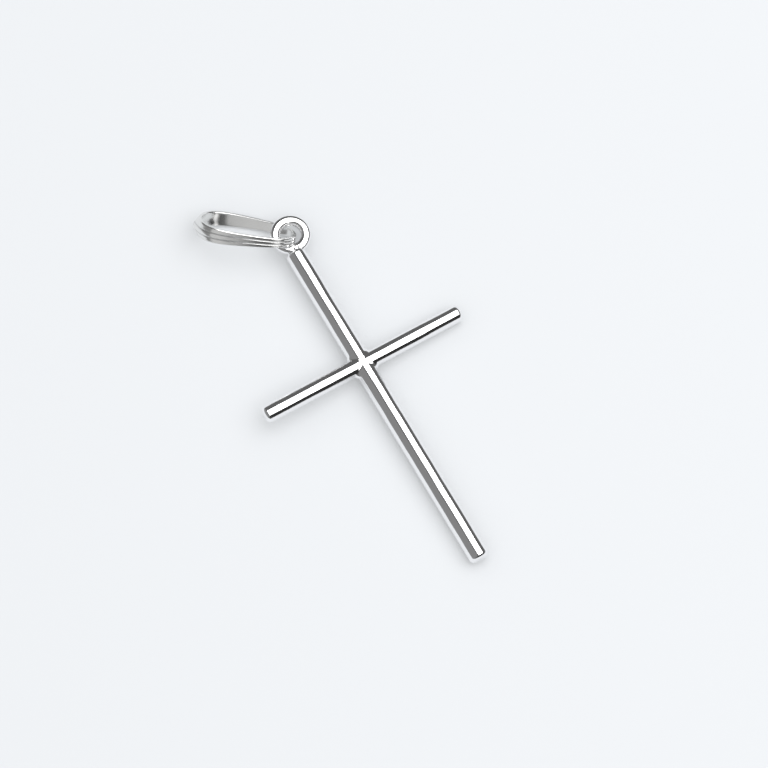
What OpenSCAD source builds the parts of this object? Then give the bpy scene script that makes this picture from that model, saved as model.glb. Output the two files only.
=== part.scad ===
// Cross pendant: a cross of two round rods with a soldered wire eye, and a loose tapered bail.
// Millimetres. The pendant lies face up on a surface at z = 0, its upright along Y, its eye at +Y.
// Nothing clamps or drives a piece here, so the model is the resting pose of both solids.

/* [Cross] */
// Diameter of the round upright
upright_diameter = 1.9; // [1.6:0.05:2.4]
// Diameter of the round crossbar
crossbar_diameter = 1.6; // [1.3:0.05:2]
// From the crossing to the flat end of the foot
foot_length = 20.9; // [17:0.1:26]
// From the crossing to the middle of the eye
eye_height = 13.9; // [11:0.1:17]
// Whole length of the crossbar
crossbar_length = 20.4; // [16:0.1:24]
// How far the crossbar sits above the middle of the upright, so that the two are flush in front
crossbar_rise = 0.14; // [0:0.01:0.15]
// Radius of the rounded edges at the ends of the rods
end_round = 0.4; // [0.2:0.05:0.7]
// Radius of the solder fillets in the four corners of the crossing
corner_fillet = 0.5; // [0.2:0.05:0.7]
// Height of those solder fillets
corner_height = 0.8; // [0.5:0.05:1.1]

/* [Eye] */
// Diameter of the eye's round wire
eye_wire = 0.95; // [0.8:0.05:1.05]
// Opening across the inside of the eye
eye_opening = 1.85; // [1.7:0.05:2.3]
// How far the ring is let into the end of the upright
eye_seat = 0.3; // [0.2:0.05:0.4]
// How far right of the upright's axis the ring was soldered
eye_side = 0.5; // [0:0.05:0.6]
// Diameter of the solder neck between the upright and the ring
neck_diameter = 1.1; // [0.8:0.05:1.3]

/* [Bail] */
// Length of the strip's loop from its eye end to its crest, along the middle of the strip
bail_length = 8.6; // [7.5:0.1:11]
// Radius of the loop's bend at its crest
crest_bend_radius = 2.7; // [1.9:0.1:3]
// Radius of the loop's bend at its eye end
eye_bend_radius = 1.6; // [1.3:0.1:2]
// How long the loop keeps its fullness away from the crest, larger is shorter
bail_fullness = 2.5; // [1.8:0.1:3]
// Width of the strip at the crest
crest_width = 1.7; // [1.4:0.05:2.2]
// Height of the ridge that runs round the middle of the crest
crest_ridge = 0.55; // [0.3:0.05:0.9]
// Share of the way from the crest to the eye end at which the ridge has died away
ridge_share = 0.3; // [0.2:0.05:0.5]
// Width of the strip at the eye end
eye_end_width = 0.69; // [0.55:0.01:0.8]
// Thickness of the strip
strip_thickness = 0.32; // [0.26:0.02:0.36]
// Number of ribs along the outside of the strip
rib_count = 3; // [1:1:5]
// Depth of the grooves between the ribs
rib_depth = 0.07; // [0.02:0.01:0.1]

/* [Lay] */
// Turn of the bail from the line of the upright towards the left
bail_turn_angle = 52.5; // [40:0.1:65]
// Rise of the bail from its eye end to its crest
bail_rise_angle = 4; // [3:0.1:10]
// Roll of the bail about its own length
bail_roll_angle = 41.5; // [30:0.5:50]
// How far the bail's eye end lies right of the middle of the eye
bail_side_offset = 0.14; // [0.1:0.01:0.35]
// How far the bail's eye end lies from the middle of the eye towards the cross
bail_drop_offset = 0.5; // [0.3:0.01:0.6]
// Gap left between the eye's wire and the strip that it leans on
wire_gap = 0.07; // [0.03:0.01:0.12]

/* [Hidden] */
$fn = 96;
silver = [0.80, 0.81, 0.83];
// Rings of points along the strip, and points on each rib across it
bail_steps = 96;
rib_steps = 5;
// How softly the strip's taper starts at its crest
taper_ease = 0.06;
// Share of the strip's half width and half thickness at which its inner edges are eased
edge_in = 0.85;
edge_up = 0.5;
// How soft the top of the crest's ridge is
ridge_ease = 0.15;

upright_r = upright_diameter / 2;
crossbar_r = crossbar_diameter / 2;
wire_r = eye_wire / 2;
ring_r = eye_opening / 2 + wire_r;
arm_length = crossbar_length / 2;
upright_top = eye_height - ring_r - wire_r + eye_seat;
// The solder neck stands between the two axes, within the end of the upright
neck_side = eye_side / 2;

// The bail's loop seen from its side: length from the eye end, and height off its middle
crest_swell = sqrt(2 * crest_bend_radius * bail_length);
eye_swell = sqrt(2 * eye_bend_radius * bail_length);
function loop_at(a) = [
    bail_length * pow(cos(a), 2),
    sin(a) * (crest_swell * pow(cos(a), 2 * bail_fullness) + eye_swell * cos(a) * pow(sin(a), 2))
];
loop_angles = [for (i = [0 : bail_steps - 1]) -90 + 180 * i / bail_steps];
loop_line = [for (a = loop_angles) loop_at(a)];

// Distance along the loop from the eye end, then its share from the crest to the eye end
steps_out = [for (i = [0 : bail_steps - 1]) norm(loop_line[(i + 1) % bail_steps] - loop_line[i])];
distance_along = [for (i = 0, d = 0; i < bail_steps; d = d + steps_out[i], i = i + 1) d];
loop_total = distance_along[bail_steps - 1] + steps_out[bail_steps - 1];
function share_from_crest(i) = abs(2 * distance_along[i] / loop_total - 1);
function taper(s) = (sqrt(s * s + taper_ease * taper_ease) - taper_ease) / (1 - taper_ease);
function half_width(i) = (crest_width - (crest_width - eye_end_width) * taper(share_from_crest(i))) / 2;

// The crest is pressed outwards along its middle, which makes it pointed when it is seen from its side
function ridge_at(i) = crest_ridge * pow(max(0, 1 - share_from_crest(i) / ridge_share), 2);
function ridge_over(across) = 1 - (sqrt(across * across + ridge_ease * ridge_ease) - ridge_ease);

// Outward direction of the strip at a step, in the loop's own plane
function travel(i) =
    let (d = loop_line[(i + 1) % bail_steps] - loop_line[(i + bail_steps - 1) % bail_steps])
    d / norm(d);
function outward(i) = [travel(i)[1], -travel(i)[0]];

// Outline of the strip: share of the half width across it, and height off its middle
strip_outline = concat(
    [for (j = [0 : rib_count * rib_steps])
        let (f = j / (rib_count * rib_steps))
        [2 * f - 1, strip_thickness / 2 - rib_depth * (1 - abs(sin(180 * rib_count * f)))]],
    [
        [1, -edge_up * strip_thickness / 2],
        [edge_in, -strip_thickness / 2],
        [0, -strip_thickness / 2],
        [-edge_in, -strip_thickness / 2],
        [-1, -edge_up * strip_thickness / 2]
    ]
);
outline_size = len(strip_outline);

function strip_point(i, across, off) =
    let (p = loop_line[i] + (off + ridge_at(i) * ridge_over(across)) * outward(i))
    [p[0], across * half_width(i), p[1]];

// Turns a point of the bail from its own axes to the way that it lies
function roll_about_x(p, a) = [p.x, p.y * cos(a) - p.z * sin(a), p.y * sin(a) + p.z * cos(a)];
function roll_about_y(p, a) = [p.x * cos(a) + p.z * sin(a), p.y, -p.x * sin(a) + p.z * cos(a)];
function roll_about_z(p, a) = [p.x * cos(a) - p.y * sin(a), p.x * sin(a) + p.y * cos(a), p.z];
function lay(p) =
    let (risen = roll_about_y(roll_about_x(p, -bail_roll_angle), -bail_rise_angle))
    roll_about_z(risen, 90 + bail_turn_angle);

laid_points = [for (i = [0 : bail_steps - 1]) for (o = strip_outline) lay(strip_point(i, o[0], o[1]))];
bail_lift = -min([for (p = laid_points) p.z]);
bail_shift = [eye_side + bail_side_offset, eye_height - bail_drop_offset, bail_lift];
bail_points = [for (p = laid_points) p + bail_shift];

// How the cross lies for a tilt that lifts its eye end: the foot and the end of the right arm
// touch the surface, which gives the height of the crossing and the roll of the crossbar
function held_at(along, r, slope) =
    (along - end_round) * sin(slope) + (r - end_round) * cos(slope) + end_round;
arm_span = arm_length - end_round;
arm_low = crossbar_r - crossbar_rise - end_round;
function height_for(tilt) = held_at(foot_length, upright_r, tilt);
function roll_for(z) = asin((z - end_round) / norm([arm_span, arm_low])) - atan2(arm_low, arm_span);

// The eye's wire leans on the strip that passes under it: each point of that strip would hold
// the middle of the wire at least its half thickness and the gap away
reach = wire_r + wire_gap;
under_steps = [for (i = [0 : bail_steps / 2]) if (loop_line[i][0] > eye_wire) i];
under_points = [for (i = under_steps) for (k = [0 : outline_size - 1]) bail_points[i * outline_size + k]];
ring_angles = [0 : 5 : 355];
function eye_rest(tilt, roll) = max([for (a = ring_angles)
    let (
        x = eye_side + ring_r * cos(a),
        y = eye_height + ring_r * sin(a),
        lean = ring_r * (sin(a) * sin(tilt) - cos(a) * sin(roll))
    )
    for (p = under_points)
    let (d = norm([p.x - x, p.y - y]))
    if (d < reach) p.z + sqrt(reach * reach - d * d) - lean]);
foot_span = eye_height + foot_length - end_round;
function tilt_for(eye_z, roll) = asin((eye_z + eye_side * sin(roll) - upright_r) / foot_span);

// A first guess with the ring level, then the lean that it really has
first_tilt = tilt_for(eye_rest(0, 0), 0);
first_roll = roll_for(height_for(first_tilt));
cross_tilt = tilt_for(eye_rest(first_tilt, first_roll), first_roll);
cross_z = height_for(cross_tilt);
cross_roll = roll_for(cross_z);

// Middle of the whole pendant's box, which becomes the origin
foot_span_flat = (foot_length - end_round) * cos(cross_tilt);
foot_reach = foot_span_flat + (upright_r - end_round) * sin(cross_tilt) + end_round;
arm_high = crossbar_r + crossbar_rise - end_round;
left_reach = arm_span * cos(cross_roll) + arm_low * sin(cross_roll) + end_round;
right_reach = arm_span * cos(cross_roll) + arm_high * sin(cross_roll) + end_round;
eye_reach = eye_height * cos(cross_tilt) + ring_r * cos(cross_tilt) + wire_r;
bail_xs = [for (p = bail_points) p.x];
bail_ys = [for (p = bail_points) p.y];
box_low = [min(-left_reach, min(bail_xs)), -foot_reach];
box_high = [max(right_reach, max(bail_xs)), max(eye_reach, max(bail_ys))];
middle = (box_low + box_high) / 2;
origin_shift = [-middle.x, -middle.y, 0];

// A round rod from z = 0 up, with flat ends and rounded edges
module rod(length, r) {
    rotate_extrude() {
        square([r - end_round, length]);
        translate([0, end_round]) square([r, length - 2 * end_round]);
        translate([r - end_round, end_round]) circle(end_round);
        translate([r - end_round, length - end_round]) circle(end_round);
    }
}

// One solder fillet, in the corner between the right arm and the upper part of the upright
module solder_corner() {
    translate([0, 0, crossbar_rise - corner_height / 2])
        linear_extrude(corner_height)
            difference() {
                square([upright_r + corner_fillet, crossbar_r + corner_fillet]);
                translate([upright_r + corner_fillet, crossbar_r + corner_fillet]) circle(corner_fillet);
            }
}

module cross_flat() {
    translate([0, -foot_length, 0]) rotate([-90, 0, 0]) rod(foot_length + upright_top, upright_r);
    translate([-arm_length, 0, crossbar_rise]) rotate([0, 90, 0]) rod(crossbar_length, crossbar_r);
    for (sx = [0, 1])
        for (sy = [0, 1])
            mirror([sx, 0, 0]) mirror([0, sy, 0]) solder_corner();
    translate([neck_side, upright_top - end_round, 0])
        rotate([-90, 0, 0])
            cylinder(d = neck_diameter, h = eye_height - ring_r - upright_top + end_round);
    translate([eye_side, eye_height, 0])
        rotate_extrude() translate([ring_r, 0]) circle(wire_r);
}

module cross() {
    color(silver)
        translate(origin_shift + [0, 0, cross_z])
            rotate([cross_tilt, cross_roll, 0])
                cross_flat();
}

module bail() {
    color(silver)
        translate(origin_shift)
            polyhedron(
                points = bail_points,
                faces = [for (i = [0 : bail_steps - 1]) for (k = [0 : outline_size - 1])
                    let (
                        n = (i + 1) % bail_steps,
                        m = (k + 1) % outline_size,
                        here = i * outline_size,
                        next = n * outline_size
                    )
                    for (face = [[here + k, next + k, next + m], [here + k, next + m, here + m]]) face]
            );
}

cross();
bail();
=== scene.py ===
# %% [markdown]
# # A cross pendant of polished silver
# The real pendant is about four centimetres long. Two round rods cross, a wire ring is soldered to
# the top of the upright, and a tapered, ribbed strip is bent into a loose loop through that ring.
# This lesson loads the part that the CAD program made, as a fixed frame, and then dresses it: each
# of the two solids gets a smoother piece of the same size in the same place, with a polished finish.

import math

import bpy
from mathutils import Matrix, Vector


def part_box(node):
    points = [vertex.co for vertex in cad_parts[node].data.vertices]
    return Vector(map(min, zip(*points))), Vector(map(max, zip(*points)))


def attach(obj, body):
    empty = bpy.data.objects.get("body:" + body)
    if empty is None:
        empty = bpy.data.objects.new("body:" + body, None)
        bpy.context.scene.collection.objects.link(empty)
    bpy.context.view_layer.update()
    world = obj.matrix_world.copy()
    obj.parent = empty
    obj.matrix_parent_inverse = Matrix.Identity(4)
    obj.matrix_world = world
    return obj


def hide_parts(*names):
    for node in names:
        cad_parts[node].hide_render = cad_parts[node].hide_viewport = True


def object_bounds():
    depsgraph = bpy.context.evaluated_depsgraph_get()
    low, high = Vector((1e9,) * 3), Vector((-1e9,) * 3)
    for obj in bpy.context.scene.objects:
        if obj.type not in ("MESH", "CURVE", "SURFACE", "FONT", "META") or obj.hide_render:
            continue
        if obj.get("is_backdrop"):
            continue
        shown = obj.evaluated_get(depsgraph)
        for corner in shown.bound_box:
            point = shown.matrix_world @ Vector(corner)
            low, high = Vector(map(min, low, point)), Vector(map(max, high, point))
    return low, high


mm = 0.001


def in_mm(values):
    return [round(value / mm, 3) for value in values]


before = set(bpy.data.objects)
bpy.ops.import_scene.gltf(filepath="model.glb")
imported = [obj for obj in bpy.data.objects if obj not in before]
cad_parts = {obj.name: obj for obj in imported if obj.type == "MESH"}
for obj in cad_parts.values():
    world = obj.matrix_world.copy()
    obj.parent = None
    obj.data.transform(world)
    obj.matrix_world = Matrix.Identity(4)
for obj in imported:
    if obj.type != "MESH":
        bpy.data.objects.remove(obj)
cad_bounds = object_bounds()
print("solids in the frame:", len(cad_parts))
print("CAD box in mm:", [in_mm(corner) for corner in cad_bounds])

# %% [markdown]
# ## The camera
# The photograph looks down on the lying pendant from 72.5 degrees above the floor, with the camera
# turned 30 degrees round to one side. The camera stands 350 mm off and has a long lens, so parallel
# lines stay nearly parallel, as in most pictures of small jewellery. It could be placed by hand in
# the view, but three plain numbers for its direction are easier to check against the photograph.

# %% Place the camera
view_turn = math.radians(30.36)
view_height = math.radians(72.5)
camera_distance = 350 * mm
frame_width = 69.1 * mm
target = Vector((0.77, -1.89, 1.0)) * mm
forward = Vector((
    math.sin(view_turn) * math.cos(view_height),
    math.cos(view_turn) * math.cos(view_height),
    -math.sin(view_height),
))
camera_data = bpy.data.cameras.new("camera")
camera_data.sensor_width = 36
camera_data.lens = camera_data.sensor_width * camera_distance / frame_width
camera_data.clip_start = 0.01
camera = bpy.data.objects.new("camera", camera_data)
bpy.context.scene.collection.objects.link(camera)
camera.location = target - camera_distance * forward
camera.rotation_euler = forward.to_track_quat("-Z", "Y").to_euler()
bpy.context.scene.camera = camera
print("camera at", in_mm(camera.location), "mm, lens", round(camera_data.lens, 1))

# %% [markdown]
# ## Small helpers for working by hand in code
# An operator works on whatever is selected, and the loaded frame arrives selected. So before each
# step everything is deselected, and one piece is made active. Faces and edges are then chosen by
# their place, which stays right when a size changes, where a list of their numbers wouldn't.
# Points that are only a hair or two apart count as one.

# %% Helpers for selecting
hair = 0.0005 * mm


def deselect_all():
    if bpy.context.object and bpy.context.object.mode != "OBJECT":
        bpy.ops.object.mode_set(mode="OBJECT")
    bpy.ops.object.select_all(action="DESELECT")


def work_on(piece):
    deselect_all()
    piece.select_set(True)
    bpy.context.view_layer.objects.active = piece


def select_points(piece, wanted):
    """Selects the points that pass a test, with the edges and faces between them."""
    work_on(piece)
    bpy.ops.object.mode_set(mode="EDIT")
    bpy.ops.mesh.select_mode(type="VERT")
    bpy.ops.mesh.select_all(action="DESELECT")
    bpy.ops.object.mode_set(mode="OBJECT")
    for point in piece.data.vertices:
        point.select = wanted(point)
    bpy.ops.object.mode_set(mode="EDIT")


def clean_all(piece, *steps):
    """Runs some clean-up operators on the whole of a piece."""
    work_on(piece)
    bpy.ops.object.mode_set(mode="EDIT")
    bpy.ops.mesh.select_all(action="SELECT")
    for step in steps:
        step()
    bpy.ops.object.mode_set(mode="OBJECT")


def face_outwards():
    bpy.ops.mesh.normals_make_consistent(inside=False)


def apply_modifier(piece, kind, **settings):
    work_on(piece)
    bpy.ops.object.modifier_add(type=kind)
    modifier = piece.modifiers[-1]
    for name, value in settings.items():
        setattr(modifier, name, value)
    bpy.ops.object.modifier_apply(modifier=modifier.name)


deselect_all()
print("nothing is selected:", len(bpy.context.selected_objects) == 0)

# %% [markdown]
# ## The soldered crossing
# On the real cross the two rods meet in one mass of metal. The thinner crossbar sits a little
# forward, so both are flush in front, and the solder in the corners is polished into a small round
# fillet. Joining two cylinders and bevelling their seam looks close, but the seam is a saddle, and
# a bevel can't roll a ball of one size along it, which a mirror finish shows at once. So a quarter
# of the crossing starts as a plain grid, and each point of the grid is put where it belongs. Its
# first rows follow the ball that rolls between both rods, and the rest spread out over the
# upright. A Mirror modifier makes the other three quarters. The grid is 1 wide and starts at the
# world's middle, so a point's place on it, times the number of steps, is the point's row and column.

# %% One quarter of the crossing
upright_r = 0.95 * mm
crossbar_r = 0.80 * mm
crossbar_rise = 0.14 * mm
corner_fillet = 0.5 * mm
patch_margin = 0.7 * mm
patch_reach = crossbar_r + corner_fillet + patch_margin
around_steps = 96
low_corner = 32
high_corner = 64
fillet_steps = 10
spread_steps = 8
ball_from_upright = upright_r + corner_fillet
ball_from_crossbar = crossbar_r + corner_fillet
quarter_turn = math.pi / 2
half_turn = math.pi
full_turn = 2 * math.pi


def fillet_point(turn, share):
    """The rolling ball touches the crossbar at share 0 and the upright at share 1."""
    across = ball_from_crossbar * math.cos(turn)
    up = crossbar_rise + ball_from_crossbar * math.sin(turn)
    ball = Vector((math.sqrt(ball_from_upright ** 2 - up ** 2), across, up))
    to_crossbar = Vector((0, -math.cos(turn), -math.sin(turn)))
    to_upright = Vector((-ball.x, 0, -ball.z)).normalized()
    return ball + corner_fillet * to_crossbar.slerp(to_upright, share)


def border_place(step):
    """Where a row ends on the patch's border: its turn round the upright, and how far along it."""
    if step < low_corner:
        return -quarter_turn, patch_reach * step / low_corner
    if step > high_corner:
        return quarter_turn, patch_reach * (around_steps - step) / (around_steps - high_corner)
    return half_turn * ((step - low_corner) / (high_corner - low_corner) - 0.5), patch_reach


def spread_point(step, share):
    """From the fillet's edge on the upright to the border of the patch, straight on the rod's skin."""
    edge = fillet_point(half_turn * (step / around_steps - 0.5), 1)
    edge_turn = math.atan2(edge.z, edge.x)
    border_turn, border_along = border_place(step)
    turn = edge_turn + (border_turn - edge_turn) * share
    along = edge.y + (border_along - edge.y) * share
    return Vector((upright_r * math.cos(turn), along, upright_r * math.sin(turn)))


print("fillet's ball, mm from the rods' axes:", in_mm([ball_from_upright, ball_from_crossbar]))

# %% Put the points of a grid where they belong
bpy.ops.mesh.primitive_grid_add(
    x_subdivisions=around_steps,
    y_subdivisions=fillet_steps + spread_steps,
    size=1,
    location=(0.5, 0.5, 0),
)
cross = bpy.context.object
cross.name = "cross_polished"
bpy.ops.object.transform_apply(location=True)
for point in cross.data.vertices:
    around = round(point.co.x * around_steps)
    outward = round(point.co.y * (fillet_steps + spread_steps))
    if outward <= fillet_steps:
        turn = half_turn * (around / around_steps - 0.5)
        point.co = fillet_point(turn, outward / fillet_steps)
    else:
        point.co = spread_point(around, (outward - fillet_steps) / spread_steps)
print("points in one quarter of the crossing:", len(cross.data.vertices))

# %% Mirror the quarter into the whole crossing
apply_modifier(
    cross,
    "MIRROR",
    use_axis=(True, True, False),
    use_mirror_merge=True,
    merge_threshold=2 * hair,
)
clean_all(cross, lambda: bpy.ops.mesh.remove_doubles(threshold=hair), face_outwards)
print("points in the whole crossing:", len(cross.data.vertices))

# %% [markdown]
# ## The rods
# Each rod is drawn out of the crossing: the open edge is extruded to the rod's end, pressed flat
# there, closed with one face, and its rim is bevelled round, as a file and a buff leave it. One
# long face on each side is enough, because a straight rod bends light only across its width. An
# arm is a thousandth of a millimetre short, so that its fine rim stays inside the frame's box.

# %% A rod from an open edge
foot_length = 20.9 * mm
upright_top = 12.325 * mm
arm_length = 10.199 * mm
end_round = 0.4 * mm
tiny = 4 * hair
across_axis = 0
upright_axis = 1


def open_points(piece):
    """The points on a piece's open edges, which have a face on one side only."""
    faces_at = {}
    for face in piece.data.polygons:
        for edge in face.edge_keys:
            faces_at[edge] = faces_at.get(edge, 0) + 1
    return {index for edge, count in faces_at.items() if count == 1 for index in edge}


def draw_rod_out(piece, axis, side, length):
    """Extrudes one open edge of the crossing, flattens it at the rod's end and closes it."""
    still_open = open_points(piece)
    along_upright = axis == upright_axis
    edge_starts = patch_reach - tiny if along_upright else tiny
    select_points(
        piece,
        lambda point: point.index in still_open
        and point.co[axis] * side > edge_starts
        and (along_upright or abs(point.co.y) < patch_reach - tiny),
    )
    bpy.ops.mesh.extrude_edges_move()
    flat = [1.0, 1.0, 1.0]
    flat[axis] = 0.0
    end = [0.0, 0.0, 0.0]
    end[axis] = side * length
    bpy.ops.transform.resize(value=flat, center_override=end)
    bpy.ops.mesh.edge_face_add()
    bpy.ops.object.mode_set(mode="OBJECT")
    select_points(piece, lambda point: abs(point.co[axis] - side * length) < tiny)
    bpy.ops.mesh.select_mode(type="EDGE")
    bpy.ops.mesh.bevel(
        offset=end_round,
        segments=10,
        profile=0.5,
        affect="EDGES",
        clamp_overlap=False,
    )
    bpy.ops.object.mode_set(mode="OBJECT")


print("points on the crossing's open edges:", len(open_points(cross)))

# %% Draw the four rods out
draw_rod_out(cross, across_axis, 1, arm_length)
draw_rod_out(cross, across_axis, -1, arm_length)
draw_rod_out(cross, upright_axis, 1, upright_top)
draw_rod_out(cross, upright_axis, -1, foot_length)
print("rods drawn out, faces:", len(cross.data.polygons))

# %% [markdown]
# ## The eye
# The eye is a ring of round wire, seated a little into the end of the upright and held by solder.
# It was soldered half a millimetre to the right of the rod's axis, as the photograph shows. A
# torus is the same shape as a ring of round wire, but this wire was pressed a little flat, which
# gives it a broad bright band. So each point of the torus is moved out to a superellipse, a circle
# with fuller corners. The ring, the short neck of solder and the rods are then united by a Boolean
# modifier, because soldered metal is one piece with one skin. The union leaves a few edges shorter
# than a hair along its seams, and they are collapsed.

# %% Bend the eye's wire
eye_height = 13.9 * mm
eye_side = 0.5 * mm
wire_r = 0.475 * mm
wire_power = 2.5
ring_r = 1.4 * mm
deselect_all()
bpy.ops.mesh.primitive_torus_add(
    major_segments=128,
    minor_segments=56,
    major_radius=ring_r,
    minor_radius=wire_r,
    location=(eye_side, eye_height, 0),
)
eye = bpy.context.object
bpy.ops.object.transform_apply(location=True)
eye_middle = Vector((eye_side, eye_height, 0))
for point in eye.data.vertices:
    outwards = Vector((point.co.x - eye_side, point.co.y - eye_height, 0)).normalized()
    wire_middle = eye_middle + ring_r * outwards
    spoke = (point.co - wire_middle).normalized()
    power_sum = abs(spoke.dot(outwards)) ** wire_power + abs(spoke.z) ** wire_power
    point.co = wire_middle + spoke * wire_r / power_sum ** (1 / wire_power)
print("eye of", *in_mm([2 * wire_r]), "mm wire, points:", len(eye.data.vertices))

# %% Solder the eye on
neck_r = 0.55 * mm
neck_side = eye_side / 2
neck_low = upright_top - end_round
neck_high = eye_height - ring_r
deselect_all()
bpy.ops.mesh.primitive_cylinder_add(
    vertices=96,
    radius=neck_r,
    depth=neck_high - neck_low,
    location=(neck_side, (neck_low + neck_high) / 2, 0),
    rotation=(quarter_turn, 0, 0),
)
neck = bpy.context.object
bpy.ops.object.transform_apply(location=True, rotation=True)
for tool in (neck, eye):
    apply_modifier(cross, "BOOLEAN", operation="UNION", object=tool, solver="EXACT")
    bpy.data.objects.remove(tool)
clean_all(cross, lambda: bpy.ops.mesh.dissolve_degenerate(threshold=hair))
print("cross united, faces:", len(cross.data.polygons))
print("points on open edges:", len(open_points(cross)))

# %% [markdown]
# ## How the cross lies
# A cross like this doesn't lie flat. Its foot and the end of its right arm touch the floor, and
# its ring leans on the strip of the bail that passes under it. The part's source works that lean
# out, and the piece is turned the same way here: first the tilt of the upright, then the roll of
# the crossbar. The turn is then applied, so the object stays at the origin with its place in its
# mesh, as the export needs.

# %% Where the cross ends up
cross_tilt = math.radians(1.076)
cross_roll = math.radians(3.9523)
cross_low, cross_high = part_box("cross")
foot_reach = (
    (foot_length - end_round) * math.cos(cross_tilt)
    + (upright_r - end_round) * math.sin(cross_tilt)
    + end_round
)
crossing_height = (
    (foot_length - end_round) * math.sin(cross_tilt)
    + (upright_r - end_round) * math.cos(cross_tilt)
    + end_round
)
left_reach = (
    (arm_length - end_round) * math.cos(cross_roll)
    + (crossbar_r - crossbar_rise - end_round) * math.sin(cross_roll)
    + end_round
)
crossing = Vector((cross_low.x + left_reach, cross_low.y + foot_reach, crossing_height))
print("crossing at", in_mm(crossing), "mm")


# %% Lay the cross down
def compare_boxes(piece, low, high):
    """Prints the box of a piece, and that of the frame's solid which it stands for."""
    places = [point.co for point in piece.data.vertices]
    made_low = [min(place[axis] for place in places) for axis in range(3)]
    made_high = [max(place[axis] for place in places) for axis in range(3)]
    print(piece.name, "made from", in_mm(made_low), "to", in_mm(made_high))
    print("the frame has it from", in_mm(low), "to", in_mm(high))


lean = Matrix.Rotation(cross_roll, 4, "Y") @ Matrix.Rotation(cross_tilt, 4, "X")
cross.data.transform(Matrix.Translation(crossing) @ lean)
sharp_on_cross = math.radians(32)
work_on(cross)
bpy.ops.object.shade_smooth_by_angle(angle=sharp_on_cross)
compare_boxes(cross, cross_low, cross_high)

# %% [markdown]
# ## The bail
# The bail is one strip of silver, wide at its crest and narrow at the eye, bent into a long loop
# and ribbed along its outside. A curve with a bevel could make a strip, but not one that narrows
# in width and keeps its thickness. A torus already has the net of faces that such a loop needs, a
# closed ring of closed sections, so a torus is added and each of its points is moved to the strip.
# Wear has left the grooves between the ribs deep at the eye and shallow at the crest. The crest is
# made a little narrower than the frame's, so that the finer mesh stays inside the frame's box.

# %% The strip's sizes
bail_length = 8.6 * mm
crest_bend = 2.7 * mm
eye_bend = 1.6 * mm
bail_fullness = 2.5
crest_width = 1.625 * mm
eye_end_width = 0.69 * mm
strip_thickness = 0.32 * mm
rib_count = 3
rib_depth = 0.07 * mm
crest_ridge = 0.53 * mm
ridge_run = 0.3
ridge_ease = 0.15
taper_ease = 0.06
print("the strip's width in mm, at its crest and at the eye:", in_mm([crest_width, eye_end_width]))

# %% The line of the loop
line_steps = 288
crest_swell = math.sqrt(2 * crest_bend * bail_length)
eye_swell = math.sqrt(2 * eye_bend * bail_length)


def loop_at(turn):
    """The loop from its side: length from the eye end, and height off its middle."""
    cosine = math.cos(turn)
    sine = math.sin(turn)
    swell_at_crest = crest_swell * abs(cosine) ** (2 * bail_fullness)
    swell_at_eye = eye_swell * cosine * sine * sine
    return Vector((bail_length * cosine * cosine, sine * (swell_at_crest + swell_at_eye)))


loop_line = [loop_at(-quarter_turn + half_turn * step / line_steps) for step in range(line_steps)]
distances = [0.0]
for step in range(line_steps):
    to_next = loop_line[(step + 1) % line_steps] - loop_line[step]
    distances.append(distances[-1] + to_next.length)
loop_total = distances[-1]
print("loop of", round(loop_total / mm, 2), "mm")


# %% The strip's width, and the ridge round its crest
def share_from_crest(step):
    return abs(2 * distances[step] / loop_total - 1)


def half_width(step):
    """The strip narrows evenly from its crest to the eye, but for a soft start at the crest."""
    softened = math.sqrt(share_from_crest(step) ** 2 + taper_ease ** 2)
    eased = (softened - taper_ease) / (1 - taper_ease)
    return (crest_width - (crest_width - eye_end_width) * eased) / 2


def ridge(step, across):
    """The crest is pressed outwards along its middle, so it looks pointed from its side."""
    height = crest_ridge * max(0, 1 - share_from_crest(step) / ridge_run) ** 2
    return height * (1 - math.sqrt(across ** 2 + ridge_ease ** 2) + ridge_ease)


print("ridge over the crest", round(ridge(line_steps // 2, 0) / mm, 2), "mm high")

# %% The ribs across the strip
rib_steps = 16
round_steps = 6
groove_at_crest = 0.25
groove_whole_from = 0.75
groove_starts = 0.45
groove_share = 0.5
rim_power = 3
half_thickness = strip_thickness / 2
edge_width = 0.14


def groove_left(step):
    """The grooves are full at the eye end and nearly worn away at the crest."""
    unworn = min(1, share_from_crest(step) / groove_whole_from)
    return groove_at_crest + (1 - groove_at_crest) * unworn


def rib_section(share):
    """A point across the ribs: its place, its height, and how far into a groove it is."""
    hollow = 1 - abs(math.sin(math.pi * rib_count * share))
    in_outer_half = min(share, 1 - share) * rib_count < 0.5
    if in_outer_half:
        return (2 * share - 1, half_thickness - rib_depth * hollow ** rim_power, 0.0)
    groove = max(0, (hollow - groove_starts) / (1 - groove_starts))
    return (2 * share - 1, half_thickness, groove)


def edge_section(side, turn):
    """A point on the rounded edge of the strip, on its right side or on its left."""
    across = 1 - edge_width + edge_width * math.cos(turn)
    return (side * across, -half_thickness * math.sin(turn), 0.0)


section = []
for step in range(rib_count * rib_steps + 1):
    section.append(rib_section(step / (rib_count * rib_steps)))
for step in range(1, round_steps + 1):
    section.append(edge_section(1, quarter_turn * step / round_steps))
for step in range(1, round_steps):
    share = step / round_steps
    section.append(((1 - edge_width) * (1 - 2 * share), -half_thickness, 0.0))
for step in range(round_steps):
    section.append(edge_section(-1, quarter_turn * (1 - step / round_steps)))
print("section of", len(section), "points")

# %% How the bail lies
bail_turn = math.radians(52.5)
bail_rise = math.radians(4)
bail_roll = math.radians(41.5)
bail_side = 0.14 * mm
bail_drop = 0.5 * mm
bail_lay = (
    Matrix.Rotation(quarter_turn + bail_turn, 4, "Z")
    @ Matrix.Rotation(-bail_rise, 4, "Y")
    @ Matrix.Rotation(-bail_roll, 4, "X")
)
eye_place = crossing + Vector((eye_side + bail_side, eye_height - bail_drop, 0))
print("the bail hangs in the eye at", in_mm(eye_place), "mm")

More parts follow.
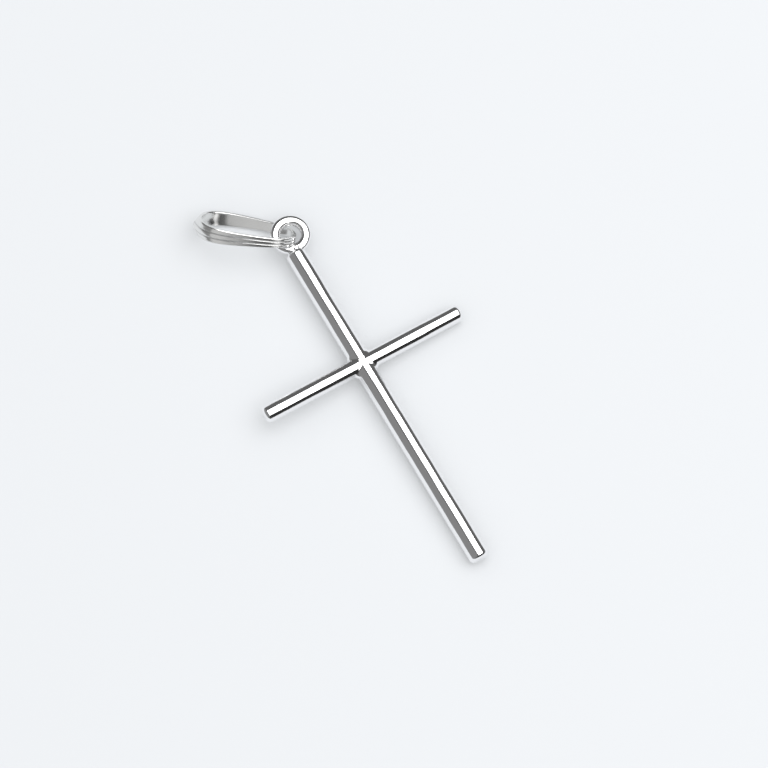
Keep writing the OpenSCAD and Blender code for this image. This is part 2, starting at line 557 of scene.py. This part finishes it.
# %% Bend the torus into the strip
torus_r = 2
deselect_all()
bpy.ops.mesh.primitive_torus_add(
    major_segments=line_steps,
    minor_segments=len(section),
    major_radius=torus_r,
    minor_radius=torus_r / 2,
)
bail = bpy.context.object
bail.name = "bail_ribbed"
groove_mark = bail.data.attributes.new("groove", "FLOAT", "POINT")
groove_values = [0.0] * len(bail.data.vertices)
for point in bail.data.vertices:
    line_turn = math.atan2(point.co.y, point.co.x) % full_turn
    section_turn = math.atan2(point.co.z, math.hypot(point.co.x, point.co.y) - torus_r) % full_turn
    step = round(line_turn / full_turn * line_steps) % line_steps
    across, off, groove = section[round(section_turn / full_turn * len(section)) % len(section)]
    groove = groove * groove_left(step)
    along = (loop_line[(step + 1) % line_steps] - loop_line[step - 1]).normalized()
    off = off + ridge(step, across) - rib_depth * groove * groove_share
    middle = loop_line[step] + off * Vector((along.y, -along.x))
    point.co = bail_lay @ Vector((middle.x, across * half_width(step), middle.y))
    groove_values[point.index] = groove
groove_mark.data.foreach_set("value", groove_values)
print("points in the strip:", len(bail.data.vertices))

# %% Lay the bail on the floor
bail_lift = -min(point.co.z for point in bail.data.vertices)
bail.data.transform(Matrix.Translation((eye_place.x, eye_place.y, bail_lift)))
clean_all(bail, face_outwards)
sharp_on_bail = math.radians(40)
bpy.ops.object.shade_smooth_by_angle(angle=sharp_on_bail)
bail_low, bail_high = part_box("bail")
compare_boxes(bail, bail_low, bail_high)

# %% [markdown]
# ## Writing materials as sums
# A material is a tree of nodes. Laying the nodes out by hand is clear in the editor but long in a
# script, so one small class wraps a socket and lets Python's own signs add the Math nodes. Any
# other node comes from one method, which sets its settings first and then its sockets.

# %% A class for shader maths
class Wire:
    """One output socket in a node tree. A sum of wires and numbers adds the Math nodes for it."""

    def __init__(self, tree, socket):
        self.tree = tree
        self.socket = socket

    def math(self, operation, first, second):
        sockets = {0: first, 1: second}
        return add_node(self.tree, "ShaderNodeMath", {"operation": operation}, sockets)

    def __add__(self, other):
        return self.math("ADD", self, other)

    def __radd__(self, other):
        return self.math("ADD", other, self)

    def __sub__(self, other):
        return self.math("SUBTRACT", self, other)

    def __rsub__(self, other):
        return self.math("SUBTRACT", other, self)

    def __mul__(self, other):
        return self.math("MULTIPLY", self, other)

    def __rmul__(self, other):
        return self.math("MULTIPLY", other, self)

    def __pow__(self, other):
        return self.math("POWER", self, other)


def add_node(tree, kind, settings, sockets, output=0):
    """Adds a node with its settings, fills its sockets with values or wires, returns one output."""
    node = tree.nodes.new(kind)
    for name, value in settings.items():
        if name == "stops":
            for element, stop in zip(node.color_ramp.elements, value):
                element.position = stop[0]
                element.color = stop[1]
        else:
            setattr(node, name, value)
    for name, value in sockets.items():
        if isinstance(value, Wire):
            tree.links.new(value.socket, node.inputs[name])
        else:
            node.inputs[name].default_value = value
    return Wire(tree, node.outputs[output])


def blend_colours(tree, share, first, second):
    """Mixes two colours by a wire, with a Mix node, since a Math node would turn them grey."""
    sockets = {0: share, 6: first, 7: second}
    return add_node(tree, "ShaderNodeMix", {"data_type": "RGBA"}, sockets, 2)


def noise(tree, place, scale, detail=2.0):
    sockets = {"Vector": place, "Scale": scale, "Detail": detail}
    return add_node(tree, "ShaderNodeTexNoise", {}, sockets)


def streaks(tree, place, scale):
    """Noise on object coordinates that are squeezed along two axes, so that it runs in streaks."""
    squeezed = add_node(tree, "ShaderNodeMapping", {}, {"Vector": place, "Scale": scale})
    return noise(tree, squeezed, scale=1.0, detail=1.0)


def bump(tree, strength, distance, height, **below):
    """Tilts the light as a relief would, over the relief below it if there is one."""
    sockets = {"Strength": strength, "Distance": distance, "Height": height, **below}
    return add_node(tree, "ShaderNodeBump", {}, sockets)


print("shader helpers are ready")

# %% [markdown]
# ## Polished silver
# Silver is nearly white and mirrors what is round it, so most of its look is in the reflections
# and little in its own colour. Three things keep it from looking like a computer's perfect chrome:
# the buffing wheel leaves very fine scratches along the rod, handling leaves the gloss a little
# uneven, and the soft metal isn't perfectly straight, which makes long reflections waver a little.
# A photograph of worn silver could be laid on instead, but noise needs no file and has no seams.
# The bail is stamped and less polished, so it is duller, and tarnish darkens its grooves. Its
# colour is also darker than the rods', which paints the shade that falls over the bail.

# %% A material for silver
cloud_scale = 260.0
waver_scale = 260.0
waver_strength = 1.0
waver_height = 0.15 * mm
across_scratch = 9000.0
along_scratch = 500.0
scratch_strength = 0.05
scratch_depth = 0.004 * mm
tarnish_colour = (0.05, 0.05, 0.055, 1.0)
tarnish_dullness = 0.3


def silver(name, tint, shine, haze, tarnish_in_grooves=0.0):
    """Polished silver: fine scratches, uneven gloss, a slight waver, and grooves that may be dark."""
    material = bpy.data.materials.new(name)
    material.use_nodes = True
    tree = material.node_tree
    tree.nodes.clear()
    place = add_node(tree, "ShaderNodeTexCoord", {}, {}, "Object")
    cloud = noise(tree, place, cloud_scale)
    scratches_along = streaks(tree, place, (across_scratch, along_scratch, across_scratch))
    scratches_across = streaks(tree, place, (along_scratch, across_scratch, across_scratch))
    scratches = scratches_along * 0.5 + scratches_across * 0.5
    waver = noise(tree, place, waver_scale, detail=1.0)
    groove = add_node(tree, "ShaderNodeAttribute", {"attribute_name": "groove"}, {}, "Fac")
    tarnish = groove * tarnish_in_grooves
    colour = blend_colours(tree, tarnish, tint, tarnish_colour)
    roughness = cloud ** 2.0 * haze + scratches ** 3.0 * haze + tarnish * tarnish_dullness + shine
    scratched = bump(tree, scratch_strength, scratch_depth, scratches)
    surface = bump(tree, waver_strength, waver_height, waver, Normal=scratched)
    shader = add_node(
        tree,
        "ShaderNodeBsdfPrincipled",
        {},
        {"Base Color": colour, "Roughness": roughness, "Normal": surface, "Metallic": 1.0},
    )
    add_output(tree, "ShaderNodeOutputMaterial", shader)
    return material


def add_output(tree, kind, shader):
    output = tree.nodes.new(kind)
    tree.links.new(shader.socket, output.inputs["Surface"])


print("silver can be mixed")


# %% Dress the cross and the bail
def dress(piece, material, node):
    """Gives a piece its finish, hangs it under the root body, and hides the frame's solid it stands
    for.
    """
    piece.data.materials.clear()
    piece.data.materials.append(material)
    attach(piece, "root")
    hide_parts(node)


rod_silver = silver("polished silver", tint=(0.93, 0.93, 0.935, 1.0), shine=0.07, haze=0.06)
# The bail's darker colour than the rods' is painted shade over the whole bail.
bail_silver = silver(
    "bail silver",
    tint=(0.80, 0.80, 0.79, 1.0),
    shine=0.18,
    haze=0.06,
    tarnish_in_grooves=0.9,
)
dress(cross, rod_silver, "cross")
dress(bail, bail_silver, "bail")
print("finishes given to", cross.name, "and", bail.name)

# %% [markdown]
# ## The floor
# The pendant lies on a plain pale surface. Under a soft box that is bright enough to look white in
# silver, a white floor would burn out and its shadows would be deep. So the floor is darker than
# paper, and a faint, even glow makes it pale again and keeps the shadows light. It is the stage
# and not part of the object, and the metal mirrors it along both sides.

# %% Lay the floor
floor_size = 4.0
floor_colour = (0.245, 0.252, 0.262, 1.0)
floor_glow_colour = (0.97, 0.99, 1.0, 1.0)
floor_glow = 0.3
floor_grain_scale = 40.0
floor_grain = 0.1
floor_roughness = 0.75
floor_shine = 0.2
deselect_all()
bpy.ops.mesh.primitive_plane_add(size=floor_size, location=(0, 0, 0))
floor = bpy.context.object
floor.name = "floor"
floor_material = bpy.data.materials.new("pale floor")
floor_material.use_nodes = True
floor_tree = floor_material.node_tree
floor_tree.nodes.clear()
floor_place = add_node(floor_tree, "ShaderNodeTexCoord", {}, {}, "Object")
grain = noise(floor_tree, floor_place, floor_grain_scale)
floor_shader = add_node(
    floor_tree,
    "ShaderNodeBsdfPrincipled",
    {},
    {
        "Base Color": floor_colour,
        "Roughness": grain * floor_grain + floor_roughness,
        "Specular IOR Level": floor_shine,
        "Emission Color": floor_glow_colour,
        "Emission Strength": floor_glow,
    },
)
add_output(floor_tree, "ShaderNodeOutputMaterial", floor_shader)
floor.data.materials.append(floor_material)
floor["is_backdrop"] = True
print("floor is", floor_size, "m wide")

# %% [markdown]
# ## The light
# A mirror shows the room, so the light is built from what the metal mirrors. A long soft box hangs
# over the pendant, further to the right and towards the camera, and gives the broad white bands.
# A wide fill light, which mirrors don't show, softens the shadows. Beyond them the room is dim:
# nearly black behind the camera, and mid grey on the left. The rods and the ring get their dark
# lines from that dim room, but the flat inside of the bail would be dark all over. So two cards
# hang low in front of it, and light linking shows them to the bail alone.

# %% Hang the soft box
def power(radiance, area):
    """The power in watts of a flat light that shows the given brightness in a mirror."""
    return radiance * math.pi * area


box_height = 0.5
box_reach = {"left": 0.11, "right": 1.126, "near": 0.916, "far": 0.51}
box_data = bpy.data.lights.new("soft box", "AREA")
box_data.shape = "RECTANGLE"
box_data.size = (box_reach["left"] + box_reach["right"]) * box_height
box_data.size_y = (box_reach["near"] + box_reach["far"]) * box_height
box_radiance = 3.3
box_data.energy = power(box_radiance, box_data.size * box_data.size_y)
soft_box = bpy.data.objects.new("soft box", box_data)
soft_box.location = (
    (box_reach["right"] - box_reach["left"]) / 2 * box_height,
    (box_reach["far"] - box_reach["near"]) / 2 * box_height,
    box_height,
)
bpy.context.scene.collection.objects.link(soft_box)
print("soft box", round(box_data.size, 3), "by", round(box_data.size_y, 3), "m")

# %% Fill the shadows
fill_data = bpy.data.lights.new("fill", "AREA")
fill_data.shape = "DISK"
fill_data.size = 3.0
fill_r = fill_data.size / 2
fill_radiance = 1.6
fill_data.energy = power(fill_radiance, math.pi * fill_r ** 2)
fill = bpy.data.objects.new("fill", fill_data)
fill.location = (-0.3, 0.0, 0.6)
fill.visible_glossy = False
bpy.context.scene.collection.objects.link(fill)
print("fill", round(fill_data.energy, 2), "W")

# %% Two cards for the bail alone
card_distance = 0.5
mirrored_by_bail = bpy.data.collections.new("mirrored by the bail")
mirrored_by_bail.objects.link(bail)


def hang_card(name, turn, height, half_angle, radiance):
    """A round white card that faces the pendant and shows in the bail only."""
    level = math.cos(height)
    outward = Vector((math.cos(turn) * level, math.sin(turn) * level, math.sin(height)))
    card_r = card_distance * math.tan(half_angle)
    card_data = bpy.data.lights.new(name, "AREA")
    card_data.shape = "DISK"
    card_data.size = 2 * card_r
    card_data.energy = power(radiance, math.pi * card_r ** 2)
    card = bpy.data.objects.new(name, card_data)
    card.location = card_distance * outward
    card.rotation_euler = outward.to_track_quat("Z", "Y").to_euler()
    card.light_linking.receiver_collection = mirrored_by_bail
    bpy.context.scene.collection.objects.link(card)


hang_card(
    "grey card",
    turn=math.radians(213),
    height=math.radians(30),
    half_angle=math.radians(24),
    radiance=0.4,
)
hang_card(
    "white card",
    turn=math.radians(268),
    height=math.radians(14),
    half_angle=math.radians(9),
    radiance=1.0,
)
print("two cards hang", card_distance, "m off")

# %% [markdown]
# ## The room
# A real studio has walls, which could be modelled or taken from a picture of a room. The silver
# only shows how bright they are, so the room is the world's colour, mixed by direction.

# %% Tint the room
world = bpy.data.worlds.new("room")
bpy.context.scene.world = world
world.use_nodes = True
world_tree = world.node_tree
world_tree.nodes.clear()
direction = add_node(world_tree, "ShaderNodeTexCoord", {}, {}, "Generated")
parts = add_node(world_tree, "ShaderNodeSeparateXYZ", {}, {"Vector": direction}).socket.node
east = Wire(world_tree, parts.outputs["X"])
north = Wire(world_tree, parts.outputs["Y"])


def ramp(tree, value, black_until, white_from):
    """Black up to one value, white from another, and even in between."""
    stops = [(black_until, (0, 0, 0, 1)), (white_from, (1, 1, 1, 1))]
    return add_node(tree, "ShaderNodeValToRGB", {"stops": stops}, {0: value})


room_grey = 0.12
left_wall_gain = 0.12
behind_loss = 0.09
left_wall = ramp(world_tree, east * -1.0, black_until=0.15, white_from=0.45)
behind = ramp(world_tree, north * -1.0, black_until=0.55, white_from=0.75)
room = left_wall * left_wall_gain - behind * behind_loss + room_grey
background = add_node(world_tree, "ShaderNodeBackground", {}, {"Color": room})
add_output(world_tree, "ShaderNodeOutputWorld", background)
bpy.context.scene.view_settings.view_transform = "Standard"
print("room is tinted")

# %% [markdown]
# ## Closing the scene
# The box of the finished model is printed, in the same form as the CAD box printed at the start.

# %% Print the finished model's box
visual_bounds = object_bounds()
print("visual box in mm:", [in_mm(corner) for corner in visual_bounds])
